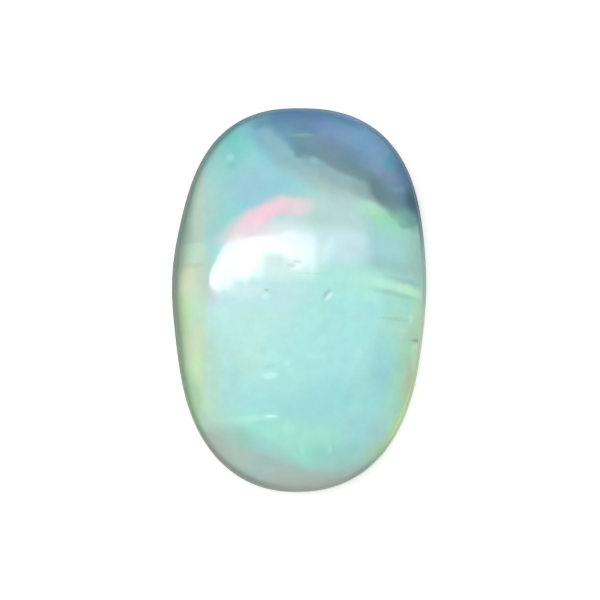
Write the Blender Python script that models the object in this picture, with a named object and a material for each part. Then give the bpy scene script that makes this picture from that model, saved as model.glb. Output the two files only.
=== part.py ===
"""An oval opal cabochon: one stone with a flat base, a low leaning wall and a tall polished dome.

The stone lies on its base. +Y runs along it, +Z goes up through the top of the dome, and the origin is
under the middle of the stone, on the surface that it lies on. Lengths are in metres.
"""
import math

import bmesh
import bpy

MM = 0.001

# The three sizes that a calliper would give.
LENGTH = 12.6 * MM
WIDTH = 8.35 * MM
HEIGHT = 3.6 * MM

# The foot of the stone: a chamfer that keeps the edge from chipping, then a wall that leans inwards.
CHAMFER_IN = 0.34 * MM
CHAMFER_UP = 0.30 * MM
WALL_TOP = 0.95 * MM
WALL_LEAN = math.radians(9)

# The dome is part of an ellipse, cut off where it is this far down from its top.
DOME_REACH = math.radians(80)
# The highest point is a little off the middle, as on a stone domed by hand.
APEX_X = -0.10 * MM
APEX_Y = 0.22 * MM

# The outline is a rounded oval, squarer than an ellipse, with the slight unevenness of hand cutting.
# Each lobe is: how many times it repeats round the stone, its share of the radius, and where it is widest.
SQUARENESS = 2.23
LOBES = (
    (1, 0.074, math.radians(-90)),
    (2, 0.028, math.radians(79)),
    (3, 0.026, math.radians(31)),
    (5, 0.006, math.radians(-25)),
    (6, 0.008, math.radians(-2)),
)

# How finely the solid is divided.
SEGMENTS = 84
DOME_RINGS = 18

OPAL_COLOUR = "#A3DCDA"
OPAL_ROUGHNESS = 0.06
OPAL_IOR = 1.45


def clear_scene():
    """Remove whatever the file holds before the stone is made."""
    for old in list(bpy.data.objects):
        bpy.data.objects.remove(old, do_unlink=True)


def hex_to_linear(code):
    """Turn an sRGB hex colour into the linear red, green, blue and alpha that a shader takes."""
    values = [int(code[i:i + 2], 16) / 255 for i in (1, 3, 5)]
    return [v / 12.92 if v <= 0.04045 else ((v + 0.055) / 1.055) ** 2.4 for v in values] + [1.0]


def rough_outline(angle):
    """A point of the oval before it is brought to size, in half widths and half lengths."""
    across = abs(math.cos(angle) / WIDTH * 2) ** SQUARENESS
    along = abs(math.sin(angle) / LENGTH * 2) ** SQUARENESS
    radius = (across + along) ** (-1 / SQUARENESS)
    radius *= 1 + sum(share * math.cos(count * (angle - widest)) for count, share, widest in LOBES)
    return radius * math.cos(angle), radius * math.sin(angle)


def widest_ring():
    """The points of the stone's widest ring, centred on the origin and exactly WIDTH by LENGTH."""
    points = [rough_outline(math.tau * i / SEGMENTS) for i in range(SEGMENTS)]
    low = [min(p[i] for p in points) for i in (0, 1)]
    high = [max(p[i] for p in points) for i in (0, 1)]
    size = (WIDTH, LENGTH)
    return [
        tuple((p[i] - (low[i] + high[i]) / 2) * size[i] / (high[i] - low[i]) for i in (0, 1))
        for p in points
    ]


def stations():
    """The rings from the base up: how far each is set in, how much it shrinks, and its height.

    The last value says how much of the apex's shift the ring takes.
    """
    wall_in = (WALL_TOP - CHAMFER_UP) * math.tan(WALL_LEAN)
    rings = [
        (CHAMFER_IN, 1.0, 0.0, 0.0),
        (0.0, 1.0, CHAMFER_UP, 0.0),
        (wall_in, 1.0, WALL_TOP, 0.0),
    ]
    rim_height = math.cos(DOME_REACH)
    for i in range(1, DOME_RINGS + 1):
        down = DOME_REACH * (1 - i / DOME_RINGS)
        rise = (math.cos(down) - rim_height) / (1 - rim_height)
        shrink = math.sin(down) / math.sin(DOME_REACH)
        rings.append((wall_in, shrink, WALL_TOP + (HEIGHT - WALL_TOP) * rise, rise))
    return rings


def place_ring(verts, order, outline, station):
    """Move a ring's vertices to their places; order is the layer that holds each one's number."""
    set_in, shrink, height, shift = station
    for vert in verts:
        x, y = outline[vert[order]]
        keep = shrink * (1 - set_in / math.hypot(x, y))
        vert.co = (x * keep + APEX_X * shift, y * keep + APEX_Y * shift, height)


def make_stone():
    """Start from the base face and draw its edge up ring by ring until it closes at the apex."""
    outline = widest_ring()
    rings = stations()
    bm = bmesh.new()
    order = bm.verts.layers.int.new("order")
    verts = bmesh.ops.create_circle(bm, cap_ends=True, segments=SEGMENTS, radius=WIDTH / 2)["verts"]
    for i, vert in enumerate(sorted(verts, key=lambda v: math.atan2(v.co.y, v.co.x) % math.tau)):
        vert[order] = i
    place_ring(verts, order, outline, rings[0])
    edges = list(bm.edges)
    for station in rings[1:]:
        made = bmesh.ops.extrude_edge_only(bm, edges=edges)["geom"]
        verts = [g for g in made if isinstance(g, bmesh.types.BMVert)]
        edges = [g for g in made if isinstance(g, bmesh.types.BMEdge)]
        place_ring(verts, order, outline, station)
    bmesh.ops.pointmerge(bm, verts=verts, merge_co=(APEX_X, APEX_Y, HEIGHT))
    bmesh.ops.recalc_face_normals(bm, faces=bm.faces)
    mesh = bpy.data.meshes.new("opal")
    bm.to_mesh(mesh)
    bm.free()
    mesh.shade_smooth()
    mesh.set_sharp_from_angle(angle=math.radians(30))
    return mesh


def opal_material():
    """Precious opal, polished: milky, faintly see-through near its edges, with a soft glassy shine."""
    material = bpy.data.materials.new("polished opal")
    material.use_nodes = True
    shader = material.node_tree.nodes["Principled BSDF"]
    shader.inputs["Base Color"].default_value = hex_to_linear(OPAL_COLOUR)
    shader.inputs["Roughness"].default_value = OPAL_ROUGHNESS
    shader.inputs["IOR"].default_value = OPAL_IOR
    shader.inputs["Metallic"].default_value = 0.0
    shader.inputs["Subsurface Weight"].default_value = 0.6
    shader.inputs["Subsurface Scale"].default_value = 0.5 * MM
    return material


clear_scene()
stone = bpy.data.objects.new("opal", make_stone())
stone.data.materials.append(opal_material())
bpy.context.scene.collection.objects.link(stone)
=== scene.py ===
# %% [markdown]
# # A polished opal, seen from above
#
# The real thing is one loose gemstone, an oval cabochon: a flat base, a low wall that leans inwards and a
# tall dome. It lies on its base and the camera looks straight down on it. The frame that is loaded here
# holds the stone's plain solid, and everything below is fitted to that solid's box.

# %% Load the frame
import math

import bpy
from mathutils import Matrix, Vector


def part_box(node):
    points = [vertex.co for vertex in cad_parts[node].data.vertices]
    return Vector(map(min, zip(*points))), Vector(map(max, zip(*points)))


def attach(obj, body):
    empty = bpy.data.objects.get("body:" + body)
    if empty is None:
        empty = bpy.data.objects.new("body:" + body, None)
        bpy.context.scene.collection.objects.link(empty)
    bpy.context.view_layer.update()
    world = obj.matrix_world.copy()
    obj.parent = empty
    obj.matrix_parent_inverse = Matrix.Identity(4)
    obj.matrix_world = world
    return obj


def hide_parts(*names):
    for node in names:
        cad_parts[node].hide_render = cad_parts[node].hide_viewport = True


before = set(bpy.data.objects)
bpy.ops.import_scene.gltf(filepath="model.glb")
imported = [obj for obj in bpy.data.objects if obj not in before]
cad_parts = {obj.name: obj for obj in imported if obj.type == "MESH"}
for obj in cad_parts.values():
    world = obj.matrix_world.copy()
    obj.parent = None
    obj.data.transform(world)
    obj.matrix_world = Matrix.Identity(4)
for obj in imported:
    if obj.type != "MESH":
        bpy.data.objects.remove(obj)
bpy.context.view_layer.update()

MM = 0.001
low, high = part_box("opal")
WIDTH, LENGTH, HEIGHT = high - low
print(f"The stone is {WIDTH / MM:.2f} x {LENGTH / MM:.2f} x {HEIGHT / MM:.2f} mm")

# %% [markdown]
# ## Three small helpers
#
# Colours are easiest to pick as hex codes, which are sRGB, but Blender's sockets want linear light, so one
# function turns one into the other. Node trees are long because every node takes several lines to make. One
# function that adds a node with its settings and its links keeps each node on a line or two. The third
# gives a node group its named inputs and outputs.


# %% Helpers
def linear(code):
    """An sRGB hex colour as linear red, green, blue and alpha."""
    values = [int(code[i:i + 2], 16) / 255 for i in (1, 3, 5)]
    return [v / 12.92 if v <= 0.04045 else ((v + 0.055) / 1.055) ** 2.4 for v in values] + [1.0]


def add(tree, kind, inputs=None, **settings):
    """Add a node. Settings are its properties; inputs maps a socket to a value, a socket or a node."""
    node = tree.nodes.new(kind)
    for name, value in settings.items():
        setattr(node, name, value)
    for key, value in (inputs or {}).items():
        if isinstance(value, bpy.types.Node):
            value = value.outputs[0]
        if isinstance(value, bpy.types.NodeSocket):
            tree.links.new(value, node.inputs[key])
        else:
            node.inputs[key].default_value = value
    return node


def declare(tree, direction, sockets):
    """Name a group's inputs or outputs and give their kinds and, for inputs, their usual values."""
    for name, kind, value in sockets:
        socket = tree.interface.new_socket(name, in_out=direction, socket_type="NodeSocket" + kind)
        if value is not None:
            socket.default_value = value


print("linear value of mid grey:", round(linear("#808080")[0], 3))

# %% [markdown]
# ## The oval
#
# A cutter grinds the outline by eye against a template, so it is a rounded oval, squarer than an ellipse
# and a little uneven. A drawn curve would do, but a formula needs no points: a superellipse gives the
# squareness, and a few slow waves round the edge give the unevenness. It is a node group, because it is
# used twice.

# %% The oval as a node group
SQUARENESS = 2.23
# Each wave: how often it repeats round the stone, its share of the radius, where it is widest in degrees.
LOBES = ((1, 0.074, -90), (2, 0.028, 79), (3, 0.026, 31), (5, 0.006, -25), (6, 0.008, -2))

oval = bpy.data.node_groups.new("Rough oval", "GeometryNodeTree")
declare(oval, "INPUT", [("Angle", "Float", 0.0), ("Width", "Float", WIDTH), ("Length", "Float", LENGTH)])
declare(oval, "OUTPUT", [("Point", "Vector", None)])
given = add(oval, "NodeGroupInput").outputs
cosine = add(oval, "ShaderNodeMath", {0: given["Angle"]}, operation="COSINE")
sine = add(oval, "ShaderNodeMath", {0: given["Angle"]}, operation="SINE")
reach = []
for turn, size in ((cosine, given["Width"]), (sine, given["Length"])):
    share = add(oval, "ShaderNodeMath", {0: turn, 1: size}, operation="DIVIDE")
    share = add(oval, "ShaderNodeMath", {0: share, 1: 2.0}, operation="MULTIPLY")
    share = add(oval, "ShaderNodeMath", {0: share}, operation="ABSOLUTE")
    reach.append(add(oval, "ShaderNodeMath", {0: share, 1: SQUARENESS}, operation="POWER"))
total = add(oval, "ShaderNodeMath", {0: reach[0], 1: reach[1]}, operation="ADD")
radius = add(oval, "ShaderNodeMath", {0: total, 1: -1 / SQUARENESS}, operation="POWER")
uneven = 1.0
for count, share, widest in LOBES:
    phase = {0: given["Angle"], 1: count, 2: -count * math.radians(widest)}
    wave = add(oval, "ShaderNodeMath", phase, operation="MULTIPLY_ADD")
    wave = add(oval, "ShaderNodeMath", {0: wave}, operation="COSINE")
    uneven = add(oval, "ShaderNodeMath", {0: wave, 1: share, 2: uneven}, operation="MULTIPLY_ADD")
radius = add(oval, "ShaderNodeMath", {0: radius, 1: uneven}, operation="MULTIPLY")
heading = add(oval, "ShaderNodeCombineXYZ", {0: cosine, 1: sine})
point = add(oval, "ShaderNodeVectorMath", {0: heading, 3: radius}, operation="SCALE")
add(oval, "NodeGroupOutput", {0: point})
print("the oval's group has", len(oval.nodes), "nodes")

# %% [markdown]
# ## The cabochon
#
# A UV sphere squashed to shape would put a pole at the top of the dome, just where the polish shows every
# pinched triangle. This tree starts from a finely divided cube instead. The cube's top becomes the dome,
# its four sides become the wall and the chamfer under it, and its bottom becomes the base. The square top
# is rounded into a disc with a well-known square-to-circle formula, which keeps the faces even and has no
# pole.

# %% The cabochon's tree: inputs
# How finely the stone is divided across, along and up its side, and how many of the side's steps are chamfer.
ACROSS_POINTS = 170
ALONG_POINTS = 250
SIDE_STEPS = 11
CHAMFER_STEPS = 3
WALL_TOP = 0.95 * MM
shape = bpy.data.node_groups.new("Opal cabochon", "GeometryNodeTree")
declare(shape, "INPUT", [
    ("Low corner", "Vector", low), ("High corner", "Vector", high),
    ("Chamfer in", "Float", 0.34 * MM), ("Chamfer up", "Float", 0.30 * MM),
    ("Wall top", "Float", WALL_TOP), ("Wall lean", "Float", math.radians(9)),
    ("Dome reach", "Float", math.radians(80)), ("Apex shift", "Vector", (-0.10 * MM, 0.22 * MM, 0)),
    ("Hollow depth", "Float", 0.03 * MM), ("Hollow width", "Float", 3.4 * MM),
    ("Pit marks", "Object", None), ("Fine pits per cm2", "Float", 26.0), ("Seed", "Int", 10),
    ("Material", "Material", None),
])
declare(shape, "OUTPUT", [("Stone", "Geometry", None)])
given = add(shape, "NodeGroupInput").outputs
size = add(shape, "ShaderNodeVectorMath", {0: given["High corner"], 1: given["Low corner"]},
           operation="SUBTRACT")
size = add(shape, "ShaderNodeSeparateXYZ", {0: size}).outputs
print("the tree takes", len(shape.interface.items_tree) - 1, "inputs")

# %% [markdown]
# The rough oval isn't centred and isn't quite the right size. A circle of points is bent to it, its
# bounding box is read, and every point of the stone is mapped from that box to the real one.

# %% The cabochon's tree: the cube, rounded and brought to size
cube = add(shape, "GeometryNodeMeshCube",
           {"Size": (2, 2, 2), "Vertices X": ACROSS_POINTS, "Vertices Y": ALONG_POINTS,
            "Vertices Z": SIDE_STEPS + 1})
position = add(shape, "GeometryNodeInputPosition")
axis = add(shape, "ShaderNodeSeparateXYZ", {0: position}).outputs
disc = []
for this, other in (("X", "Y"), ("Y", "X")):
    square = add(shape, "ShaderNodeMath", {0: axis[other], 1: axis[other]}, operation="MULTIPLY")
    inner = add(shape, "ShaderNodeMath", {0: square, 1: -0.5, 2: 1.0}, operation="MULTIPLY_ADD")
    root = add(shape, "ShaderNodeMath", {0: inner}, operation="SQRT")
    disc.append(add(shape, "ShaderNodeMath", {0: axis[this], 1: root}, operation="MULTIPLY"))
flat = add(shape, "ShaderNodeCombineXYZ", {0: disc[0], 1: disc[1]})
out_from_middle = add(shape, "ShaderNodeVectorMath", {0: flat}, operation="LENGTH").outputs["Value"]
angle = add(shape, "ShaderNodeMath", {0: disc[1], 1: disc[0]}, operation="ARCTAN2")

OVAL_POINTS = 720
loop = add(shape, "GeometryNodeMeshCircle", {"Vertices": OVAL_POINTS, "Radius": 1.0})
loop_angle = add(shape, "ShaderNodeMath", {0: axis["Y"], 1: axis["X"]}, operation="ARCTAN2")
ovals = [add(shape, "GeometryNodeGroup", {"Angle": heading, "Width": size["X"], "Length": size["Y"]},
             node_tree=oval) for heading in (loop_angle, angle)]
bent = add(shape, "GeometryNodeSetPosition", {"Geometry": loop, "Position": ovals[0]})
rough_box = add(shape, "GeometryNodeBoundBox", {"Geometry": bent}).outputs
edge = add(shape, "ShaderNodeMapRange",
           {6: ovals[1], 7: rough_box["Min"], 8: rough_box["Max"],
            9: given["Low corner"], 10: given["High corner"]},
           data_type="FLOAT_VECTOR", clamp=False).outputs["Vector"]
edge = add(shape, "ShaderNodeVectorMath", {0: edge, 1: (1, 1, 0)}, operation="MULTIPLY")
edge_radius = add(shape, "ShaderNodeVectorMath", {0: edge}, operation="LENGTH").outputs["Value"]
print("the cube has", ACROSS_POINTS, "by", ALONG_POINTS, "points on top")

# %% [markdown]
# Each point now needs three things: how far it is set in from the widest ring, how much it shrinks towards
# the middle, and its height. Up the side these come from two straight runs, the chamfer and the wall. Over
# the dome they come from an arc, which is cut off near its foot so that it meets the wall at the wall's own
# slope.

# %% The cabochon's tree: chamfer, wall and dome
chamfer_end = -1 + 2 * CHAMFER_STEPS / SIDE_STEPS
chamfer = add(shape, "ShaderNodeMapRange", {0: axis["Z"], 1: -1.0, 2: chamfer_end})
wall = add(shape, "ShaderNodeMapRange", {0: axis["Z"], 1: chamfer_end, 2: 1.0})
wall_rise = add(shape, "ShaderNodeMath", {0: given["Wall top"], 1: given["Chamfer up"]},
                operation="SUBTRACT")
lean = add(shape, "ShaderNodeMath", {0: given["Wall lean"]}, operation="TANGENT")
wall_in = add(shape, "ShaderNodeMath", {0: wall_rise, 1: lean}, operation="MULTIPLY")
chamfer_left = add(shape, "ShaderNodeMath", {0: 1.0, 1: chamfer}, operation="SUBTRACT")
set_in = add(shape, "ShaderNodeMath", {0: chamfer_left, 1: given["Chamfer in"]}, operation="MULTIPLY")
set_in = add(shape, "ShaderNodeMath", {0: wall, 1: wall_in, 2: set_in}, operation="MULTIPLY_ADD")
side_height = add(shape, "ShaderNodeMath", {0: chamfer, 1: given["Chamfer up"]}, operation="MULTIPLY")
side_height = add(shape, "ShaderNodeMath", {0: wall, 1: wall_rise, 2: side_height},
                  operation="MULTIPLY_ADD")

down = add(shape, "ShaderNodeMath", {0: out_from_middle, 1: given["Dome reach"]}, operation="MULTIPLY")
sines = [add(shape, "ShaderNodeMath", {0: a}, operation="SINE") for a in (down, given["Dome reach"])]
shrink = add(shape, "ShaderNodeMath", {0: sines[0], 1: sines[1]}, operation="DIVIDE")
cosines = [add(shape, "ShaderNodeMath", {0: a}, operation="COSINE") for a in (down, given["Dome reach"])]
arc = add(shape, "ShaderNodeMapRange", {0: cosines[0], 1: cosines[1], 2: 1.0})
on_top = add(shape, "ShaderNodeMath", {0: axis["Z"], 1: 0.0}, operation="GREATER_THAN")
rise = add(shape, "ShaderNodeMath", {0: arc, 1: on_top}, operation="MULTIPLY")
dome_height = add(shape, "ShaderNodeMath", {0: size["Z"], 1: given["Wall top"]}, operation="SUBTRACT")
up = add(shape, "ShaderNodeMath", {0: rise, 1: dome_height, 2: side_height}, operation="MULTIPLY_ADD")

share_in = add(shape, "ShaderNodeMath", {0: set_in, 1: edge_radius}, operation="DIVIDE")
keep = add(shape, "ShaderNodeMath", {0: 1.0, 1: share_in}, operation="SUBTRACT")
keep = add(shape, "ShaderNodeMath", {0: keep, 1: shrink}, operation="MULTIPLY")
plan = add(shape, "ShaderNodeVectorMath", {0: edge, 3: keep}, operation="SCALE")
shift = add(shape, "ShaderNodeVectorMath", {0: given["Apex shift"], 3: rise}, operation="SCALE")
plan = add(shape, "ShaderNodeVectorMath", {0: plan, 1: shift}, operation="ADD")
lift = add(shape, "ShaderNodeCombineXYZ", {2: up})
place = add(shape, "ShaderNodeVectorMath", {0: plan, 1: lift}, operation="ADD")
cut = add(shape, "GeometryNodeStoreNamedAttribute",
          {"Geometry": cube, "Name": "rise", "Value": rise}, data_type="FLOAT", domain="POINT")
cut = add(shape, "GeometryNodeSetPosition", {"Geometry": cut, "Position": place})
print("so far the tree has", len(shape.nodes), "nodes")

# %% [markdown]
# ## What the polishing left
#
# A dome that is polished by hand on a soft wheel isn't a perfect ellipsoid. It has shallow hollows a few
# millimetres wide, too slight to see by themselves, but they bend the edge of every reflection. The polish
# also opens tiny pits. Both are real dents here, pushed inwards only, so that the stone stays inside its
# box. The larger pits stand at listed marks; the finest are scattered over the dome with a fixed
# seed, one that keeps them clear of the highlight, where a pit would sparkle.

# %% The cabochon's tree: hollows and pits
PIT_RADIUS = 0.11 * MM
PIT_DEPTH = 0.022 * MM
FINE_PIT_RADIUS = 0.6 * PIT_RADIUS
FINE_PIT_DEPTH = 0.4 * PIT_DEPTH
FINE_PIT_SPACING = 0.5 * MM
CM2_PER_M2 = 1e4
# Up to this share of its radius a pit has a flat floor.
PIT_FLOOR = 0.2
# Shares of the dome's height: hollows fade in from the first to the second, fine pits begin at the third.
HOLLOWS_BEGIN = 0.02
HOLLOWS_FULL = 0.45
FINE_PITS_BEGIN = 0.15
stored_rise = add(shape, "GeometryNodeInputNamedAttribute", {"Name": "rise"}, data_type="FLOAT")
normal = add(shape, "GeometryNodeInputNormal")
waves_per_metre = add(shape, "ShaderNodeMath", {0: 1.0, 1: given["Hollow width"]}, operation="DIVIDE")
cloud = add(shape, "ShaderNodeTexNoise",
            {"Vector": position, "Scale": waves_per_metre, "Detail": 1.0, "Roughness": 0.4})
above_rim = add(shape, "ShaderNodeMapRange", {0: stored_rise, 1: HOLLOWS_BEGIN, 2: HOLLOWS_FULL},
                interpolation_type="SMOOTHSTEP")
dent = add(shape, "ShaderNodeMath", {0: cloud, 1: above_rim}, operation="MULTIPLY")
dent = add(shape, "ShaderNodeMath", {0: dent, 1: given["Hollow depth"]}, operation="MULTIPLY")
dent = add(shape, "ShaderNodeMath", {0: dent, 1: -1.0}, operation="MULTIPLY")
push = add(shape, "ShaderNodeVectorMath", {0: normal, 3: dent}, operation="SCALE")
cut = add(shape, "GeometryNodeSetPosition", {"Geometry": cut, "Offset": push})

marks = add(shape, "GeometryNodeObjectInfo", {"Object": given["Pit marks"]})
marks = add(shape, "GeometryNodeMeshToPoints", {"Mesh": marks.outputs["Geometry"]})
per_square_metre = add(shape, "ShaderNodeMath", {0: given["Fine pits per cm2"], 1: CM2_PER_M2},
                       operation="MULTIPLY")
on_dome = add(shape, "FunctionNodeCompare", {0: stored_rise, 1: FINE_PITS_BEGIN}, operation="GREATER_THAN")
fine = add(shape, "GeometryNodeDistributePointsOnFaces",
           {"Mesh": cut, "Selection": on_dome, "Distance Min": FINE_PIT_SPACING,
            "Density Max": per_square_metre, "Seed": given["Seed"]}, distribute_method="POISSON")
dents = []
for points, radius, depth in ((marks, PIT_RADIUS, PIT_DEPTH), (fine, FINE_PIT_RADIUS, FINE_PIT_DEPTH)):
    near = add(shape, "GeometryNodeProximity", {"Geometry": points}, target_element="POINTS")
    dents.append(add(shape, "ShaderNodeMapRange",
                     {0: near.outputs["Distance"], 1: PIT_FLOOR * radius, 2: radius, 3: -depth, 4: 0.0},
                     interpolation_type="SMOOTHSTEP"))
deepest = add(shape, "ShaderNodeMath", {0: dents[0], 1: dents[1]}, operation="MINIMUM")
push = add(shape, "ShaderNodeVectorMath", {0: normal, 3: deepest}, operation="SCALE")
cut = add(shape, "GeometryNodeSetPosition", {"Geometry": cut, "Offset": push})
print("with hollows and pits it has", len(shape.nodes), "nodes")

# %% [markdown]
# The last nodes shade the faces smooth, make whatever is an instance real, because the export drops
# instances, and give the stone its material.

# %% The cabochon's tree: the end
cut = add(shape, "GeometryNodeSetShadeSmooth", {"Geometry": cut})
cut = add(shape, "GeometryNodeRealizeInstances", {"Geometry": cut})
cut = add(shape, "GeometryNodeSetMaterial", {"Geometry": cut, "Material": given["Material"]})
add(shape, "NodeGroupOutput", {0: cut})
print("finished, the tree has", len(shape.nodes), "nodes")

# %% [markdown]
# ## The colours of the stone
#
# Opal's colours come from layers of tiny silica spheres inside it. Each patch of layers throws back one
# colour, so the stone is a set of soft-edged flashes in a milky body. The blue wedge, the rose arc and the
# green seams are such flashes. A painted picture wrapped round the dome would smear on its sides. Instead
# each flash is a soft shape in the stone's own millimetres, laid over the one before, like glazes on a
# glass bead.

# %% A group that lays one flash of colour over another
flash = bpy.data.node_groups.new("Colour flash", "ShaderNodeTree")
declare(flash, "INPUT", [
    ("Under", "Color", None), ("Point", "Vector", None), ("Middle", "Vector", None),
    ("Along", "Vector", (1, 0, 0)), ("Across", "Vector", (0, 1, 0)), ("Bow", "Float", 0.0),
    ("Square", "Float", 2.0), ("Soft", "Float", 0.3), ("Colour", "Color", None), ("Strength", "Float", 1.0),
])
declare(flash, "OUTPUT", [("Colour", "Color", None)])
given = add(flash, "NodeGroupInput").outputs
# Adding next to nothing of the colour below makes each flash wait for the one before. Without that, Cycles
# works out the shapes of all the flashes at once, runs out of room for them and draws the stone black.
TRACE = 1e-9
here = add(flash, "ShaderNodeVectorMath", {0: given["Under"], 1: (TRACE,) * 3, 2: given["Point"]},
           operation="MULTIPLY_ADD")
here = add(flash, "ShaderNodeVectorMath", {0: here, 1: given["Middle"]}, operation="SUBTRACT")
# Two dot products turn the point to the flash's own directions and measure it in half sizes.
x, y = [add(flash, "ShaderNodeVectorMath", {0: here, 1: given[side]},
            operation="DOT_PRODUCT").outputs["Value"] for side in ("Along", "Across")]
x_squared = add(flash, "ShaderNodeMath", {0: x, 1: x}, operation="MULTIPLY")
bow = add(flash, "ShaderNodeMath", {0: x_squared, 1: given["Bow"]}, operation="MULTIPLY")
y = add(flash, "ShaderNodeMath", {0: y, 1: bow}, operation="ADD")
y_squared = add(flash, "ShaderNodeMath", {0: y, 1: y}, operation="MULTIPLY")
# A round flash has Square 2, for which both powers below are 1.
power = add(flash, "ShaderNodeMath", {0: given["Square"], 1: 2.0}, operation="DIVIDE")
root = add(flash, "ShaderNodeMath", {0: 2.0, 1: given["Square"]}, operation="DIVIDE")
x_share, y_share = [add(flash, "ShaderNodeMath", {0: part, 1: power}, operation="POWER")
                    for part in (x_squared, y_squared)]
far = add(flash, "ShaderNodeMath", {0: x_share, 1: y_share}, operation="ADD")
far = add(flash, "ShaderNodeMath", {0: far, 1: root}, operation="POWER")
far = add(flash, "ShaderNodeMath", {0: far}, operation="SQRT")
inner = add(flash, "ShaderNodeMath", {0: 1.0, 1: given["Soft"]}, operation="SUBTRACT")
outer = add(flash, "ShaderNodeMath", {0: 1.0, 1: given["Soft"]}, operation="ADD")
share = add(flash, "ShaderNodeMapRange", {0: far, 1: inner, 2: outer, 3: given["Strength"], 4: 0.0},
            interpolation_type="SMOOTHERSTEP")
mixed = add(flash, "ShaderNodeMix", {0: share, 6: given["Under"], 7: given["Colour"]}, data_type="RGBA")
add(flash, "NodeGroupOutput", {0: mixed.outputs[2]})
print("one flash takes", len(flash.nodes), "nodes")


def lay_one(tree, under, point, name, middle, half, soft, code, strength, turn=0, bend=0, square=2):
    """Lay one flash over a colour and give back the new colour."""
    cosine = math.cos(math.radians(turn))
    sine = math.sin(math.radians(turn))
    half_length, half_width = half
    return add(tree, "ShaderNodeGroup", {
        "Middle": (*middle, 0), "Along": (cosine / half_length, sine / half_length, 0),
        "Across": (-sine / half_width, cosine / half_width, 0), "Bow": bend * half_length ** 2 / half_width,
        "Square": square, "Soft": soft, "Colour": linear(code), "Strength": strength,
        "Point": point, "Under": under}, node_tree=flash, label=name).outputs[0]


def lay(tree, under, point, flashes):
    """Lay a list of flashes over a colour, the last on top, and give back the new colour."""
    for row in flashes:
        under = lay_one(tree, under, point, *row)
    print(len(flashes), "flashes, from", flashes[0][0], "to", flashes[-1][0])
    return under


# %% [markdown]
# The flashes need a point in millimetres. A slow noise and a finer one push that point about, so that no
# flash keeps a clean oval edge: one bends the edges over a millimetre or two, the other frays them.

# %% Points in millimetres, straight and warped
opal = bpy.data.materials.new("Polished precious opal")
opal.use_nodes = True
tree = opal.node_tree
tree.nodes.clear()
coordinates = add(tree, "ShaderNodeTexCoord")
point = add(tree, "ShaderNodeMapping", {0: coordinates.outputs["Object"], "Scale": (1 / MM,) * 3})
point = point.outputs[0]


def push_about(tree, point, waves, shift, detail):
    """Move a point by up to about half of shift, with a noise of so many waves to the point's own unit."""
    drift = add(tree, "ShaderNodeTexNoise",
                {"Vector": point, "Scale": waves, "Detail": detail, "Roughness": 0.5})
    drift = add(tree, "ShaderNodeVectorMath", {0: drift.outputs["Color"], 1: (0.5, 0.5, 0.5)},
                operation="SUBTRACT")
    moved = add(tree, "ShaderNodeVectorMath", {0: drift, 1: (shift,) * 3, 2: point},
                operation="MULTIPLY_ADD")
    return moved.outputs[0]


frayed = push_about(tree, point, waves=2.6, shift=0.15, detail=3.0)
warped = push_about(tree, frayed, waves=0.7, shift=0.26, detail=2.0)
print("two warps laid over the millimetres, in", len(tree.nodes), "nodes")
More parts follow.
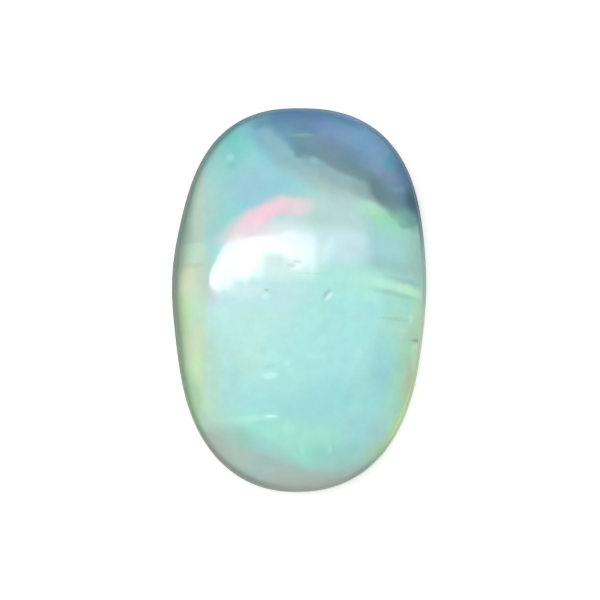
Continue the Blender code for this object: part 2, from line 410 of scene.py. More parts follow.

# %% [markdown]
# ## The body and its soft zones
#
# The body is milky aqua. Broad zones, most with no edge at all, take it to blue, mint, sage or lilac. The
# last few, round the highlight, are partly painted reflection: they lighten the body where the softbox's
# mirror image and its glow lie. They come first because the crisp flashes lie on them.

# %% Soft zones of the body
# Each flash: what it is, middle x and y, half length and half width, edge softness, colour and strength. Where
# it isn't level, straight and round, its turn in degrees, bend and squareness follow. Lengths are in mm.
SOFT_ZONES = (
    ("aqua of the upper left", (-1.95, 4.35), (2.6, 2.6), 0.7, "#8CC9CD", 0.9),
    ("green-teal shoulder", (-2.4, 5.0), (1.05, 0.7), 0.8, "#7CC0BB", 0.75, 48),
    ("bright teal by the rim", (-2.0, 5.2), (0.5, 0.35), 0.8, "#70C2BD", 0.65, 30),
    ("blue heart of the upper left", (-1.35, 3.7), (1.2, 0.6), 0.9, "#97C6D4", 0.75),
    ("sage inside the left edge", (-2.85, 3.7), (0.5, 1.4), 0.8, "#9FC9C0", 0.6),
    ("mint by the highlight", (-2.5, 2.45), (0.45, 0.3), 0.8, "#8FD0BC", 0.5, 30),
    ("lavender beside the wedge", (-0.98, 5.3), (0.95, 0.45), 0.8, "#74A4B8", 0.85, -47),
    ("teal by the top left rim", (-1.22, 5.76), (0.28, 0.15), 0.8, "#5E9C9C", 0.75, 14),
    ("grey-mint veil", (1.5, 3.6), (2.0, 0.5), 0.6, "#A2BAB8", 0.9, -27, 0, 2.5),
    ("pale veil", (1.15, 2.85), (1.45, 0.65), 0.6, "#B6D2D0", 0.85, -4, 0, 2.5),
    ("shade under the wedge, left", (-0.4, 4.75), (0.85, 0.3), 0.8, "#88B2BB", 0.75, -46),
    ("shade under the wedge, middle", (1.0, 4.1), (1.0, 0.26), 0.8, "#8FB0B8", 0.8, -24),
    ("lilac beside the wedge", (-0.72, 4.88), (0.46, 0.28), 0.9, "#90B4BE", 0.35, -50),
    ("shade under the wedge, right", (2.2, 3.55), (0.5, 0.34), 0.8, "#86A4A6", 0.8, -40),
    ("right shoulder", (3.3, 1.6), (1.1, 1.0), 0.6, "#9CCDC6", 0.85, 0, 0, 2.5),
    ("bluish shoulder", (2.6, 1.5), (0.65, 0.6), 0.9, "#A2D0D6", 0.6),
    ("grey above the seams", (3.1, 1.05), (0.7, 0.3), 0.9, "#96C0BE", 0.6, -14),
    ("sage by the right rim", (3.9, 1.35), (0.4, 0.9), 0.6, "#A2C8BC", 0.8, 0, 0, 2.5),
    ("pale middle left", (-1.8, -0.8), (2.05, 1.95), 0.9, "#BCE4DE", 0.85),
    ("mint middle", (1.5, 0.55), (1.6, 0.55), 0.7, "#B2E6D8", 0.85, -3),
    ("centre aqua", (1.1, -1.15), (1.7, 1.4), 0.8, "#ACE4E0", 0.8),
    ("blue-aqua lower right", (3.0, -2.5), (0.7, 1.15), 0.9, "#90D0D0", 0.8),
    ("low middle aqua", (0.6, -3.55), (2.0, 0.9), 0.9, "#9CD9D7", 0.8),
    ("mint foot", (-0.3, -4.5), (2.3, 0.6), 0.9, "#9FE2CF", 0.85, -16),
    ("mint foot, right end", (0.75, -5.1), (1.1, 0.4), 0.9, "#96DAC9", 0.7, 4),
    ("lilac low left", (-2.4, -2.65), (0.65, 1.4), 0.9, "#ABD4CE", 0.5),
    ("blue low on the right", (2.2, -4.4), (0.6, 0.5), 0.9, "#98CACF", 0.5),
    ("lilac low on the right", (2.65, -4.35), (0.4, 0.35), 0.9, "#A3C2BC", 0.5, 50),
    ("grey mint over the foot", (1.6, -5.05), (1.0, 0.35), 0.9, "#95CCC6", 0.8, 6),
    ("pale blue in the middle", (-1.0, 0.25), (1.3, 0.5), 0.9, "#BCDFE8", 0.6),
    # Painted reflection: a pale glow under the highlight, where the softbox's mirror image fades out.
    ("painted glow under the highlight", (-0.95, 1.3), (1.45, 0.65), 0.7, "#D2EEEC", 0.85),
    # Partly milk and partly painted reflection: the dim veil of the softbox right of the highlight.
    ("veil of milk and painted reflection", (1.15, 1.75), (1.05, 0.6), 0.5, "#C0DFE2", 0.9, 0, 0, 3),
    # Partly rose haze and partly painted reflection: a glow along the top of the highlight.
    ("rose haze and painted highlight glow", (-0.5, 2.4), (0.8, 0.42), 0.8, "#CEDEDE", 0.75, -3),
    # Painted reflection: the highlight's pale glow laid into the body behind it.
    ("painted glow behind the highlight", (-0.9, 1.75), (1.4, 0.65), 0.8, "#D2E4E4", 0.55, -3),
    # Painted reflection: the pale fade at the lower left end of the highlight.
    ("painted fade at the foot of the highlight", (-1.65, 0.24), (0.6, 0.22), 0.9, "#D6EDE8", 0.45),
    # Partly lavender and partly painted reflection: the pale tail of the highlight.
    ("lavender and painted tail of the highlight", (-2.6, 0.1), (0.45, 0.3), 0.9, "#B8DAE0", 0.7, 10),
)
body = add(tree, "ShaderNodeRGB").outputs[0]
body.default_value = linear("#A6DEDC")
colour = lay(tree, body, warped, SOFT_ZONES)

# %% [markdown]
# ## The edges
#
# Where the dome turns down, the eye looks along the layers and not at them, so their colours shift: sage
# and yellow-green down the left, green and gold down the right. The left band has a crisp inner side, as a
# layer has where the grinding cut through it. Short changes of green along it keep it from looking like a
# stripe.

# %% The left edge
LEFT_EDGE = (
    # Partly lavender and partly painted reflection: the pale tail of the highlight by the left edge.
    ("lavender and painted tail by the left edge", (-2.92, 0.2), (0.28, 0.5), 0.8, "#C4CCD6", 0.7),
    ("shade left of the highlight", (-2.95, 2.1), (0.3, 1.0), 0.9, "#9FC6C0", 0.7),
    ("sage left edge", (-3.95, 2.7), (0.88, 1.9), 0.12, "#AFC8B9", 0.9, 0, 0, 8),
    ("pale sage step", (-3.95, 1.5), (0.9, 0.35), 0.12, "#BAD6C2", 0.8, 0, 0, 8),
    ("yellow-green left edge", (-3.95, -1.55), (0.92, 2.7), 0.12, "#C2D7BC", 0.92, 0, 0, 8),
    ("shadow of the step", (-3.95, 1.12), (0.85, 0.08), 0.6, "#A9C4B0", 0.6, 0, 0, 3),
    ("beige patch", (-3.65, 0.6), (0.3, 0.6), 0.9, "#CFD2BA", 0.6),
    ("grey beside the highlight", (-3.1, 0.74), (0.3, 0.62), 0.9, "#B8BEB8", 0.5),
    ("leaf green patch", (-3.75, -0.6), (0.25, 0.6), 0.9, "#B4D29A", 0.7),
    ("mint patch", (-3.3, -0.35), (0.24, 0.5), 0.9, "#B0D8C0", 0.6),
    ("dull gold patch", (-3.5, -1.5), (0.35, 0.7), 0.9, "#C2CEAE", 0.5),
    ("bright yellow-green patch", (-3.35, -2.4), (0.22, 0.7), 0.9, "#C0E2B0", 0.8),
    ("green patch low down", (-3.35, -3.2), (0.26, 0.75), 0.9, "#9CC69E", 0.8, 18),
    ("mint inside the left edge", (-2.9, -2.5), (0.3, 1.5), 0.9, "#B4D4BC", 0.75),
    ("bright green spot", (-2.98, -3.5), (0.2, 0.2), 0.9, "#B4E2BC", 0.6),
    ("dull mint over the foot", (-2.6, -4.0), (0.65, 0.35), 0.9, "#B0D2C4", 0.7, -10),
)
colour = lay(tree, colour, frayed, LEFT_EDGE)

# %% The right edge
RIGHT_EDGE = (
    ("green right edge", (3.62, -0.62), (0.76, 1.08), 0.8, "#A4DDC9", 0.85, 0, 0, 3),
    ("olive by the right rim", (3.98, -0.9), (0.26, 1.15), 0.8, "#BCDEBA", 0.8),
    ("green lower right edge", (3.67, -2.3), (0.55, 1.3), 0.6, "#A9CEB4", 0.85, -8, 0, 3),
    ("mint inside the right edge", (3.1, -3.35), (0.35, 0.9), 0.9, "#9FD9C0", 0.7, -10),
    ("dull gold on the right edge", (3.6, -2.75), (0.22, 0.8), 0.8, "#BAC8A8", 0.65, -12),
    ("gold-green lower right", (3.3, -4.05), (1.15, 0.26), 0.8, "#B6DAA6", 0.9, 60),
    ("pale green by the right rim", (3.85, -1.75), (0.2, 0.5), 0.8, "#C6E2C2", 0.8, -4),
    ("green at the lower right", (2.5, -4.95), (0.45, 0.25), 0.8, "#A8CFB0", 0.75, 45),
)
colour = lay(tree, colour, frayed, RIGHT_EDGE)

# %% [markdown]
# ## The foot of the stone
#
# The lowest part of the oval is potch, opal without play of colour. It is grey, with a little teal and
# lilac where the precious layer above thins out over it.

# %% The grey foot
GREY_FOOT = (
    ("grey foot, left", (-1.55, -6.0), (2.85, 1.15), 0.28, "#A4BAB3", 0.9, -19, 0, 4),
    ("grey foot, right", (1.35, -6.4), (2.05, 0.98), 0.45, "#9EBAB1", 0.9, 8, 0, 3),
    ("lilac-grey low left", (-2.75, -4.7), (0.5, 0.5), 0.8, "#ABB5AE", 0.9, -40),
    ("teal in the grey", (-1.9, -4.5), (0.6, 0.35), 0.9, "#94C2B6", 0.8, -14),
    ("grey over the mint, left", (-0.75, -4.95), (0.6, 0.25), 0.9, "#A4CAC2", 0.6, -22),
    ("blue in the grey", (-1.05, -4.6), (0.45, 0.2), 0.9, "#A0D0CC", 0.5, -14),
    ("ash at the very foot", (0.0, -6.2), (2.5, 0.4), 0.8, "#AAB4AE", 0.85, 2),
)
colour = lay(tree, colour, warped, GREY_FOOT)

# %% [markdown]
# ## The blue wedge
#
# The strongest flash crosses the upper right. Three lobes give its lower side the slow curve of the real
# one, a small shelf gives it a step, and shorter flashes inside take it from teal at the left through steel
# blue to near black at the right end.

# %% The wedge
WEDGE = (
    ("upper left lobe", (0.12, 5.89), (0.93, 0.92), 0.25, "#6595AC", 0.95, -43, 0, 5),
    ("middle lobe", (2.37, 5.28), (2.2, 1.35), 0.08, "#7095B4", 0.97, -24.5, 0, 6),
    ("right lobe", (3.57, 3.56), (1.0, 0.99), 0.08, "#688CA6", 0.97, -51, -0.08, 6),
    ("dark top", (0.4, 6.0), (1.8, 0.5), 0.7, "#527E9E", 0.8, -3),
    ("deep blue top", (0.25, 5.68), (0.45, 0.36), 0.6, "#5880A4", 0.8, 0, 0, 3),
    ("grey-teal block", (0.28, 5.02), (0.58, 0.38), 0.45, "#68929D", 0.85, -30, 0, 3),
    ("shelf under the block", (0.34, 4.83), (0.48, 0.26), 0.25, "#668E99", 0.88, -5, 0, 5),
    ("light line over the block", (0.15, 5.37), (0.38, 0.06), 0.8, "#86A6B8", 0.5),
    ("slate-purple", (0.9, 5.25), (0.38, 0.28), 0.8, "#7087A6", 0.7),
    ("light blue", (1.2, 5.6), (0.7, 0.25), 0.8, "#7096BE", 0.5, -12),
    ("slate", (1.2, 4.8), (1.0, 0.36), 0.7, "#6B899F", 0.8, -21),
    ("grey slate along the lower side", (1.4, 4.5), (1.1, 0.22), 0.8, "#6F8D9C", 0.8, -24),
    ("dark teal along the lower side", (2.05, 4.12), (0.55, 0.18), 0.8, "#658A92", 0.75, -24),
    ("slate along the very edge", (1.5, 4.21), (1.15, 0.13), 0.9, "#748F98", 0.8, -24.5),
    ("shade at the step of the lower side", (0.42, 4.5), (0.4, 0.16), 0.9, "#82A4B0", 0.7, -24),
    ("teal fleck", (2.1, 5.25), (0.3, 0.32), 0.8, "#689EBA", 0.6),
    ("blue fleck", (2.6, 4.9), (0.35, 0.35), 0.8, "#6E9ABC", 0.5),
    ("bright teal fleck", (3.06, 4.42), (0.3, 0.28), 0.8, "#4F97B2", 0.8),
    ("blue along the right rim", (3.42, 4.1), (0.7, 0.18), 0.9, "#587EA0", 0.85, -64),
    ("purple fleck", (2.85, 4.0), (0.4, 0.26), 0.9, "#7888A8", 0.7),
    ("dark grey-teal corner", (2.65, 3.5), (0.55, 0.3), 0.8, "#5E7F88", 0.85, -55),
    ("grey-green lower side", (3.1, 2.95), (0.55, 0.28), 0.8, "#648C88", 0.85, -47),
    ("slate at the dark end", (3.3, 3.35), (0.4, 0.3), 0.9, "#5F7C8E", 0.7, -60),
    ("darkest end", (3.76, 3.2), (0.45, 0.26), 0.8, "#42606C", 0.88, -78),
    ("sea-green tip", (3.55, 2.63), (0.45, 0.27), 0.8, "#76A8A2", 0.85, -35),
    ("pale fleck in the slate", (0.5, 4.5), (0.16, 0.12), 0.9, "#98B8C4", 0.6, -20),
    ("pale fleck at the dark end", (3.25, 3.62), (0.2, 0.1), 0.8, "#86A4BC", 0.35, -10),
)
colour = lay(tree, colour, frayed, WEDGE)

# %% [markdown]
# ## Rose, green and the seams
#
# The rose flash arcs over the highlight and the green spark hangs under the wedge. Two pinkish hazes at the
# highlight's top and upper left are partly painted reflection, its glow. On the right, thin seams run out to
# the rim: light ones where silica filled a crack, each with a painted shadow beside it.

# %% Rose flash and green spark
ROSE_AND_SPARK = (
    # Painted reflection: a pinkish-grey glow off the upper left edge of the highlight.
    ("painted pink glow off the highlight", (-2.25, 2.15), (0.45, 0.26), 0.9, "#BCD0CC", 0.5, 45),
    ("rose flash, lower end", (-1.52, 2.53), (0.6, 0.32), 0.8, "#F0D0DC", 0.85, 24),
    ("rose flash, pale end", (-0.27, 3.07), (0.68, 0.29), 0.6, "#E2CED6", 0.9, -4, 0, 2.5),
    ("rose flash, core", (-1.11, 2.85), (0.65, 0.24), 0.8, "#F2CAD6", 0.9, 27),
    # Partly rose and partly painted reflection: the pinkish-white top edge of the highlight.
    ("rose and painted top edge of the highlight", (-1.65, 2.12), (0.85, 0.26), 0.9, "#E6D8DC", 0.7, 12),
    ("green spark", (2.75, 2.62), (0.7, 0.32), 0.9, "#9AD6BC", 0.8, -32),
    ("green heart of the spark", (2.6, 2.76), (0.24, 0.14), 0.9, "#9CD8AC", 0.7, -10),
    ("bright core of the spark", (2.2, 3.0), (0.4, 0.2), 0.8, "#AEE0CA", 0.8, -18),
)
colour = lay(tree, colour, warped, ROSE_AND_SPARK)

# %% Seams
SEAMS = (
    # The shadows beside the seams are painted shade.
    ("shadow above the seam", (3.45, 0.62), (0.55, 0.08), 0.9, "#93B9AD", 0.5, -14, 0.03),
    ("mint seam", (3.05, 0.45), (1.0, 0.11), 0.9, "#BAEADA", 0.85, -17, 0.05, 2.5),
    ("bright end of the seam", (3.66, 0.3), (0.4, 0.11), 0.8, "#C6ECC6", 0.78, -22),
    ("shadow under the seam", (3.1, 0.2), (0.66, 0.08), 0.9, "#96CBB6", 0.6, -13, 0.04),
    ("second seam", (2.35, 0.05), (0.28, 0.1), 0.9, "#B5EAD9", 0.55, -12),
    ("shadow of a third seam", (3.2, -0.62), (0.5, 0.06), 0.9, "#96CCB9", 0.5, -4),
    ("fourth seam", (3.1, -0.95), (0.6, 0.08), 0.9, "#B0E4D0", 0.4, -8),
)
colour = lay(tree, colour, frayed, SEAMS)

# %% [markdown]
# ## Small lights and flaws
#
# A few specks give the eye something sharp to hold on to. Some are flecks in the stone; the others are
# painted light and shade: a glint with its shadow, and the glints and shade of small pits and of a chip at
# the rim. They take the straight coordinates, because a warp as wide as the speck itself would tear it.

# %% Small lights and flaws
SPECKS = (
    ("bright streak", (-1.38, -3.83), (0.55, 0.1), 0.8, "#B4EADC", 0.75, 3, 0.04),
    ("bright head of the streak", (-0.9, -3.77), (0.2, 0.045), 0.7, "#CDF5EC", 0.8, 2),
    ("round light spot", (-0.35, -4.2), (0.21, 0.2), 0.9, "#B2ECDC", 0.5),
    # Painted glint of the pit marked low on the left.
    ("painted glint of the pit low on the left", (-0.95, -2.45), (0.22, 0.10), 0.7, "#C6F4EE", 0.8, 5),
    ("dim fleck over the light one", (-0.95, -2.15), (0.2, 0.08), 0.9, "#9CD0CC", 0.5, 10),
    ("second dim fleck", (-1.15, -1.65), (0.12, 0.14), 0.9, "#A4D6D0", 0.5),
    # Painted glint of the small pit marked beside it.
    ("painted glint of a small pit", (-0.4, -2.05), (0.11, 0.09), 0.8, "#C0F0EA", 0.6),
    ("upright fleck", (0.1, -4.85), (0.08, 0.2), 0.9, "#AEE8D8", 0.4, 6),
    ("second upright fleck", (1.0, -4.85), (0.07, 0.14), 0.9, "#AEE8D8", 0.6, -4),
    # Painted shade of the pit marked under the highlight.
    ("painted shade of a pit under the highlight", (-0.22, 1.12), (0.13, 0.06), 0.8, "#96C0BC", 0.8, -8),
    # Painted shade of a small pit in the middle that is only painted.
    ("painted shade of the pit in the middle", (-1.06, 0.33), (0.07, 0.045), 0.8, "#9CC0BC", 0.65),
    # Painted glint of the same small pit.
    ("painted glint of the pit in the middle", (-1.07, 0.13), (0.12, 0.1), 0.9, "#CDF4F0", 0.6),
    ("thin line under the highlight", (0.3, 0.87), (0.45, 0.03), 0.9, "#A6D0C8", 0.4, -1),
    ("shadow of the glint", (0.88, 0.22), (0.18, 0.06), 0.8, "#93C6BE", 0.7, 48),
    ("glint", (0.98, 0.13), (0.16, 0.06), 0.8, "#D8F8F0", 0.75, 48),
    # Painted glint of the upper pit.
    ("painted glint of the upper pit", (-2.24, 4.66), (0.12, 0.1), 0.9, "#A8DCDA", 0.45),
    # Painted shade of the upper pit.
    ("painted shade of the upper pit", (-2.24, 4.38), (0.16, 0.09), 0.8, "#84BCBE", 0.7, 8),
    # Painted glint of the pit marked on the right.
    ("painted glint of the pit on the right", (3.65, -0.6), (0.08, 0.15), 0.8, "#BEEBDD", 0.7, 8),
    # Painted shade in a small chip at the right rim.
    ("painted shade in the rim chip", (3.85, -1.33), (0.17, 0.055), 0.8, "#88A288", 0.65, -6),
    # Painted glint under that chip.
    ("painted glint under the rim chip", (3.88, -1.54), (0.16, 0.08), 0.8, "#CBE4D0", 0.8, -6),
    ("green beside the chip", (3.5, -1.57), (0.18, 0.16), 0.9, "#A6E4C0", 0.6),
    ("dark speck low on the right", (2.86, -4.83), (0.15, 0.08), 0.8, "#7A967E", 0.6, 50),
)
colour = lay(tree, colour, point, SPECKS)

# %% [markdown]
# ## Grain: the mosaic and the milk
#
# Up close, precious opal is a mosaic of small fields, each with its own slight tint, and the milk between
# them is cloudy. Voronoi cells about a millimetre wide give the fields, and a fine noise gives the cloud.
# Both are kept to a few per cent of brightness, so that they are felt rather than seen.

# %% Mosaic and cloud
CELLS_PER_MM = 1.1
CLOUDS_PER_MM = 2.2
MOSAIC_SHARE = 0.07
# The noise stays mostly between the first two; there the milk is darkest and lightest.
LOW_NOISE = 0.3
HIGH_NOISE = 0.7
CLOUD_DARKEST = 0.965
CLOUD_LIGHTEST = 1.03
cells = add(tree, "ShaderNodeTexVoronoi", {"Vector": warped, "Scale": CELLS_PER_MM, "Smoothness": 0.35},
            feature="SMOOTH_F1")
tint = add(tree, "ShaderNodeMix", {0: MOSAIC_SHARE, 6: colour, 7: cells.outputs["Color"]}, data_type="RGBA",
           blend_type="SOFT_LIGHT")
cloud = add(tree, "ShaderNodeTexNoise", {"Vector": warped, "Scale": CLOUDS_PER_MM, "Detail": 5.0,
                                         "Roughness": 0.62})
brightness = add(tree, "ShaderNodeMapRange",
                 {0: cloud, 1: LOW_NOISE, 2: HIGH_NOISE, 3: CLOUD_DARKEST, 4: CLOUD_LIGHTEST})
cloudy = add(tree, "ShaderNodeVectorMath", {0: tint.outputs[2], 3: brightness}, operation="SCALE")
colour = cloudy.outputs[0]
print("mosaic cells are", round(1 / CELLS_PER_MM, 2), "mm wide")

# %% [markdown]
# ## The rim, the wall and the base
#
# The grinding wheel leaves the low wall duller than the dome, and there the grey potch shows. Its tints are
# partly that potch and partly painted light: painted shade makes the thin dark line round the stone seen from
# above, and a painted bright fringe makes the light yellow-green at the lower right. The tint changes on the
# way round, so it is a colour ramp over the angle, and the height above the base says where it begins.

# %% Tints round the rim
# Degrees counter-clockwise from the right, the tint there, and the height in mm at which it has faded.
# Potch grey with painted shade: the darker tints draw the thin dark rim line; from 306 to 322 degrees the
# light yellow-green is a painted bright fringe.
RIM_POTCH_AND_PAINTED_LIGHT = (
    (0, "#AAC6B6", 1.2), (20, "#98BAB2", 1.2), (30, "#648C8E", 1.25), (39, "#3E6876", 1.25),
    (50, "#4A7690", 1.25), (58, "#527E9C", 1.25), (65, "#507896", 1.2), (72, "#7490C0", 1.2),
    (82, "#5A84A4", 1.2), (92, "#4E7CA0", 1.3), (103, "#5A8498", 1.35), (113, "#4E7E78", 1.55),
    (124, "#66827E", 1.6), (137, "#6A8276", 1.8), (148, "#6A8478", 2.2), (162, "#708878", 2.3),
    (172, "#74867A", 1.9), (193, "#7A9078", 2.0), (213, "#7A9C78", 1.75), (226, "#84A684", 1.5),
    (240, "#8C958F", 1.35), (255, "#88948D", 1.4), (270, "#A0AAA4", 1.3), (282, "#A2AEA4", 1.25),
    (290, "#92A69B", 1.2), (298, "#9EBEA2", 1.2), (306, "#C6E2B6", 1.25), (312, "#CCE6B2", 1.25),
    (322, "#C4D8AC", 1.25), (340, "#C6DEC0", 1.2), (354, "#BED6BE", 1.2), (360, "#AAC6B6", 1.2),
)
# Below this height, in mm, the tint has its full strength.
RIM_FULL = 0.98
RIM_STRENGTH = 0.92
# The ramp's alpha carries the height at which the tint has faded: 0 is LOWEST_FADE, 1 is FADE_SPAN above it.
LOWEST_FADE = 1.0
FADE_SPAN = 2.0
parts = add(tree, "ShaderNodeSeparateXYZ", {0: point}).outputs
around = add(tree, "ShaderNodeMath", {0: parts["Y"], 1: parts["X"]}, operation="ARCTAN2")
around = add(tree, "ShaderNodeMath", {0: around, 1: math.tau}, operation="DIVIDE")
around = add(tree, "ShaderNodeMath", {0: around, 1: 1.0}, operation="FLOORED_MODULO")
rim = add(tree, "ShaderNodeValToRGB", {0: around})
while len(rim.color_ramp.elements) < len(RIM_POTCH_AND_PAINTED_LIGHT):
    rim.color_ramp.elements.new(0.5)
for stop, (degrees, code, faded) in zip(rim.color_ramp.elements, RIM_POTCH_AND_PAINTED_LIGHT):
    stop.position = degrees / 360
    stop.color = (*linear(code)[:3], (faded - LOWEST_FADE) / FADE_SPAN)
faded = add(tree, "ShaderNodeMath", {0: rim.outputs["Alpha"], 1: FADE_SPAN, 2: LOWEST_FADE},
            operation="MULTIPLY_ADD")
# The height of the frayed point, not of the straight one, leaves the tint an uneven upper edge.
wander = add(tree, "ShaderNodeSeparateXYZ", {0: frayed}).outputs["Z"]
rim_share = add(tree, "ShaderNodeMapRange", {0: wander, 1: RIM_FULL, 2: faded, 3: RIM_STRENGTH, 4: 0.0},
                interpolation_type="SMOOTHSTEP")
colour = add(tree, "ShaderNodeMix", {0: rim_share, 6: colour, 7: rim.outputs[0]},
             data_type="RGBA").outputs[2]
print(len(RIM_POTCH_AND_PAINTED_LIGHT), "tints round the rim")

# %% [markdown]
# The base was ground flat on one lap, and nobody sees it once the stone is set. It is even grey potch, so
# the tints of the rim end at its edge.

# %% The base
# Heights in mm: all potch up to the first, none of it from the second.
ALL_POTCH = 0.03
POTCH_ENDS = 0.25
potch = add(tree, "ShaderNodeVectorMath", {0: linear("#93A19A")[:3], 3: brightness}, operation="SCALE")
base_share = add(tree, "ShaderNodeMapRange", {0: parts["Z"], 1: ALL_POTCH, 2: POTCH_ENDS, 3: 1.0, 4: 0.0},
                 interpolation_type="SMOOTHSTEP")
colour = add(tree, "ShaderNodeMix", {0: base_share, 6: colour, 7: potch}, data_type="RGBA").outputs[2]
print("the base is potch up to", POTCH_ENDS, "mm")

# %% [markdown]
# ## The finish
#
# Polished opal is close to glass: an index of 1.45 gives it a clear but gentle shine, weaker than quartz,
# and a low roughness keeps the reflections sharp. The light goes in a little way before it comes back,
# which is what subsurface scattering does, and it blurs the flashes as the milk does. The wall and the base
# are only ground, so they are rougher.

# %% The opal's shader
# Heights in mm and roughnesses: as ground up to the first height, polished from the second.
GROUND_UP_TO = 0.2
POLISHED_FROM = 1.15
GROUND = 0.42
POLISHED = 0.05
finish = add(tree, "ShaderNodeMapRange",
             {0: parts["Z"], 1: GROUND_UP_TO, 2: POLISHED_FROM, 3: GROUND, 4: POLISHED},
             interpolation_type="SMOOTHSTEP")
# The grinding wheel's scratches, drawn coarser than real ones. They fade out between two heights in mm.
MARKS_PER_MM = 9.0
MARKS_FADE = 0.6
MARKS_END = 1.1
MARKS_STRENGTH = 0.35
grind = add(tree, "ShaderNodeTexNoise",
            {"Vector": point, "Scale": MARKS_PER_MM, "Detail": 3.0, "Roughness": 0.6})
grind_share = add(tree, "ShaderNodeMapRange",
                  {0: parts["Z"], 1: MARKS_FADE, 2: MARKS_END, 3: MARKS_STRENGTH, 4: 0.0})
bump = add(tree, "ShaderNodeBump", {"Height": grind, "Strength": grind_share, "Distance": 0.02 * MM})
shader = add(tree, "ShaderNodeBsdfPrincipled",
             {"Base Color": colour, "Roughness": finish, "Normal": bump, "IOR": 1.45,
              "Subsurface Weight": 0.4, "Subsurface Radius": (1.0, 1.0, 1.0), "Subsurface Scale": 0.25 * MM})
add(tree, "ShaderNodeOutputMaterial", {"Surface": shader})
print("the opal's material has", len(tree.nodes), "nodes")

# %% [markdown]
# ## Cutting the stone
#
# The larger pits need marks first: loose points laid on the dome, which go away again once the stone is
# cut.
#
# The tree runs as a modifier on an empty mesh. Its sizes are set through the sockets' identifiers, because
# a modifier knows its inputs by those and not by their names. The result is copied into a plain mesh, and
# the modifier goes away.

# %% Marks for the larger pits
# Each mark: x and y in millimetres.
PITS = (
    (-2.24, 4.60), (-2.24, 4.38), (1.08, 0.15), (-0.88, -2.45), (-0.38, -2.05), (-0.10, 1.18),
    (3.68, -0.65), (2.98, -5.08),
)


def dome_height_at(x, y):
    """Roughly how high the dome is at a point, good enough to lay a mark on it."""
    out = min((abs(2 * x / WIDTH) ** 2 + abs(2 * y / LENGTH) ** 2) ** 0.5, 1)
    return WALL_TOP + (HEIGHT - WALL_TOP) * math.sqrt(1 - out * out)


mark_mesh = bpy.data.meshes.new("pit_marks")
mark_mesh.from_pydata([(x * MM, y * MM, dome_height_at(x * MM, y * MM)) for x, y in PITS], [], [])
marks_object = bpy.data.objects.new("pit_marks", mark_mesh)
bpy.context.scene.collection.objects.link(marks_object)
print(len(PITS), "marks for pits")


# %% Run the tree
def run_tree(group, name, **values):
    """Run a geometry tree on an empty mesh and give back its result as a plain object at the origin."""
    host = bpy.data.objects.new(name + "_host", bpy.data.meshes.new(name + "_host"))
    bpy.context.scene.collection.objects.link(host)
    modifier = host.modifiers.new("shape", "NODES")
    modifier.node_group = group
    for item in group.interface.items_tree:
        if item.item_type == "SOCKET" and item.in_out == "INPUT" and item.name in values:
            modifier[item.identifier] = values[item.name]
    graph = bpy.context.evaluated_depsgraph_get()
    mesh = bpy.data.meshes.new_from_object(host.evaluated_get(graph), depsgraph=graph)
    bpy.data.objects.remove(host, do_unlink=True)
    mesh.name = name
    piece = bpy.data.objects.new(name, mesh)
    bpy.context.scene.collection.objects.link(piece)
    return piece


stone = run_tree(shape, "polished_opal", **{"Material": opal, "Pit marks": marks_object})
bpy.data.objects.remove(marks_object, do_unlink=True)
bpy.data.meshes.remove(mark_mesh)
corners = [Vector(c) for c in stone.bound_box]
for i, name in enumerate("xyz"):
    ends = sorted(c[i] / MM for c in corners)
    print(f"{name} from {ends[0]:.3f} to {ends[-1]:.3f} mm")
print(len(stone.data.polygons), "faces")
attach(stone, "root")
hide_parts("opal")

# %% [markdown]
# ## Light, floor and camera
#
# The photograph was taken from straight above in a white studio. A pale world gives the even light, and a
# card above the stone holds the bright shapes that its polish mirrors. The card is seen in reflections
# alone.
#
# The floor is a sweep of white paper: matt, with next to no shine. It glows a little, because the lamps of
# such a studio light it from all round and it comes out nearly white. It lies a hair under the base, so
# that the two faces don't fight.

# %% The floor
def square_sheet(name, half, height, material, face=(0, 1, 2, 3)):
    """A flat square at a height. It faces up, or down where its corners go the other way round."""
    corners = [(-half, -half, 0), (half, -half, 0), (half, half, 0), (-half, half, 0)]
    mesh = bpy.data.meshes.new(name)
    mesh.from_pydata(corners, [], [face])
    mesh.materials.append(material)
    sheet = bpy.data.objects.new(name, mesh)
    sheet.location.z = height
    bpy.context.scene.collection.objects.link(sheet)
    print(name, "is", 2 * half, "m wide")
    return sheet


FLOOR_REACH = 3.0
FLOOR_GAP = 0.01 * MM
paper = bpy.data.materials.new("White paper sweep")
paper.use_nodes = True
paper_shader = paper.node_tree.nodes["Principled BSDF"]
for name, value in (("Base Color", linear("#FCFCFB")), ("Roughness", 0.9), ("Specular IOR Level", 0.1),
                    ("Emission Color", linear("#FFFFFF")), ("Emission Strength", 0.24)):
    paper_shader.inputs[name].default_value = value
floor = square_sheet("floor", FLOOR_REACH, -FLOOR_GAP, paper)
floor.visible_glossy = False

# %% [markdown]
# The bright shape on the dome is the mirror image of a long softbox. Its cloth is lit from inside and
# throws the light out evenly, so its shader only glows. On a dome the picture is squeezed near the rim, so
# the box is drawn much longer on its left than it looks. A dimmer panel on the right is mirrored as the veil
# beside the highlight, and where no shape lies on the dark card the reflection has its notch.

# %% The light card
CARD_HEIGHT = 0.10
CARD_REACH = 5.0 * CARD_HEIGHT
CARD_DARK = 0.05
glow = bpy.data.materials.new("Softbox cloth")
glow.use_nodes = True
tree = glow.node_tree
tree.nodes.clear()
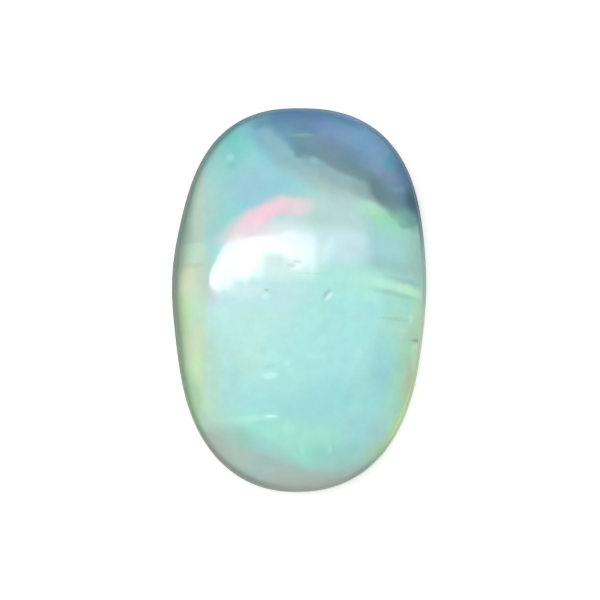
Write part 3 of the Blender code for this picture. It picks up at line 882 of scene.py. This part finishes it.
# These are laid as the opal's flashes are, but their lengths are in card heights.
CARD_SHAPES = (
    ("dim panel", (0.6, 0.24), (0.7, 0.15), 0.7, "#6E686C", 0.9, 0, 0, 2.5),
    ("bright side of the panel", (0.36, 0.23), (0.12, 0.07), 0.8, "#98A09C", 0.7),
    ("tail of the softbox", (-2.3, -0.06), (1.35, 0.12), 0.8, "#E0CCD4", 0.15, 4),
    ("softbox", (-2.3, 0.188), (1.45, 0.237), 0.38, "#FFECF0", 1.0),
    ("inner bend of the softbox", (-0.83, 0.2), (0.39, 0.118), 0.5, "#FFE8EC", 0.9),
    ("near part", (-0.31, 0.275), (0.37, 0.07), 0.45, "#FFE8EC", 0.77, 3, 0, 4),
    ("end of the near part", (0.04, 0.25), (0.13, 0.11), 0.75, "#E0C8CE", 0.8, 0, 0, 2.5),
    ("corner of the near part", (0.17, 0.14), (0.08, 0.05), 0.8, "#C8BCC0", 0.55, -30),
    ("glow over the near part", (-0.05, 0.375), (0.24, 0.055), 0.7, "#C8BCC4", 0.25),
)
coordinates = add(tree, "ShaderNodeTexCoord")
card_point = add(tree, "ShaderNodeMapping",
                 {0: coordinates.outputs["Object"], "Scale": (1 / CARD_HEIGHT, 1 / CARD_HEIGHT, 1)})
light = add(tree, "ShaderNodeRGB").outputs[0]
light.default_value = (CARD_DARK, CARD_DARK, CARD_DARK, 1)
card_frayed = push_about(tree, card_point.outputs[0], waves=6.0, shift=0.12, detail=3.0)
light = lay(tree, light, card_frayed, CARD_SHAPES)
emission = add(tree, "ShaderNodeEmission", {"Color": light, "Strength": 13.0})
add(tree, "ShaderNodeOutputMaterial", {"Surface": emission})
card = square_sheet("light_card", CARD_REACH, CARD_HEIGHT, glow, face=(0, 3, 2, 1))
card.visible_camera = False
card.visible_diffuse = False
card.visible_transmission = False
card.visible_shadow = False

# %% [markdown]
# The world is white overhead and dark below the horizon. The floor doesn't show in reflections, so the
# steep foot of the dome mirrors that dark part, and this draws the stone's edge against the white paper.
# Straight down it turns pale again, as the paper does that the wall mirrors. A broad, soft key light from
# the upper left shades the dome a little. It is kept out of reflections, because the card stands for what
# the polish mirrors.

# %% The world and a soft key light
# How bright the world is overhead, where it is dark, and how much the paper adds straight down.
OVERHEAD = 0.85
DARK = 0.15
PAPER = 0.2
# Heights on a sphere of radius 1 round the stone: dark up to here, and the paper's pale spot.
DARK_UP_TO = -0.6
PAPER_FULL = -0.98
PAPER_ENDS = -0.86
world = bpy.data.worlds.new("pale studio")
bpy.context.scene.world = world
world.use_nodes = True
sky = world.node_tree
direction = add(sky, "ShaderNodeTexCoord").outputs["Generated"]
direction = add(sky, "ShaderNodeSeparateXYZ", {0: direction}).outputs
share_up = add(sky, "ShaderNodeMapRange", {0: direction["Z"], 1: DARK_UP_TO, 2: 0.0, 3: DARK, 4: OVERHEAD},
               interpolation_type="SMOOTHSTEP")
paper_below = add(sky, "ShaderNodeMapRange",
                  {0: direction["Z"], 1: PAPER_FULL, 2: PAPER_ENDS, 3: PAPER, 4: 0.0},
                  interpolation_type="SMOOTHSTEP")
strength = add(sky, "ShaderNodeMath", {0: share_up, 1: paper_below}, operation="ADD")
sky.links.new(strength.outputs[0], sky.nodes["Background"].inputs["Strength"])
sky.nodes["Background"].inputs["Color"].default_value = linear("#FFFFFF")
key_data = bpy.data.lights.new("key", "AREA")
key_data.shape = "DISK"
key_data.size = 0.30
key_data.energy = 0.5
key = bpy.data.objects.new("key", key_data)
key.location = (-0.12, 0.12, 0.38)
key.rotation_euler = (-Vector(key.location)).to_track_quat("-Z", "Y").to_euler()
key.visible_glossy = False
bpy.context.scene.collection.objects.link(key)
print("the key light is", round(key.location.length, 2), "m from the stone")

# %% [markdown]
# The camera hangs above the stone and looks straight down. Its lens is worked out from the size of one
# pixel at the paper, and it is moved aside a little, so that the stone's middle comes where the photograph
# has it.

# %% The camera
# The picture's side in pixels, and how wide one pixel is at the paper.
FRAME_PIXELS = 600
PIXEL = 0.03287 * MM
DISTANCE = 0.25
SENSOR = 36.0
# In pixels from the picture's top left corner.
STONE_MIDDLE = (299.1, 300.1)
camera_data = bpy.data.cameras.new("camera")
camera_data.sensor_width = SENSOR
camera_data.lens = SENSOR * DISTANCE / (FRAME_PIXELS * PIXEL)
camera_data.clip_start = 0.01
camera_data.clip_end = 10.0
camera = bpy.data.objects.new("camera", camera_data)
half_frame = FRAME_PIXELS / 2
camera.location = ((half_frame - STONE_MIDDLE[0]) * PIXEL, (STONE_MIDDLE[1] - half_frame) * PIXEL, DISTANCE)
bpy.context.scene.collection.objects.link(camera)
bpy.context.scene.camera = camera
bpy.context.scene.view_settings.view_transform = "Standard"
print("the lens is", round(camera_data.lens), "mm")
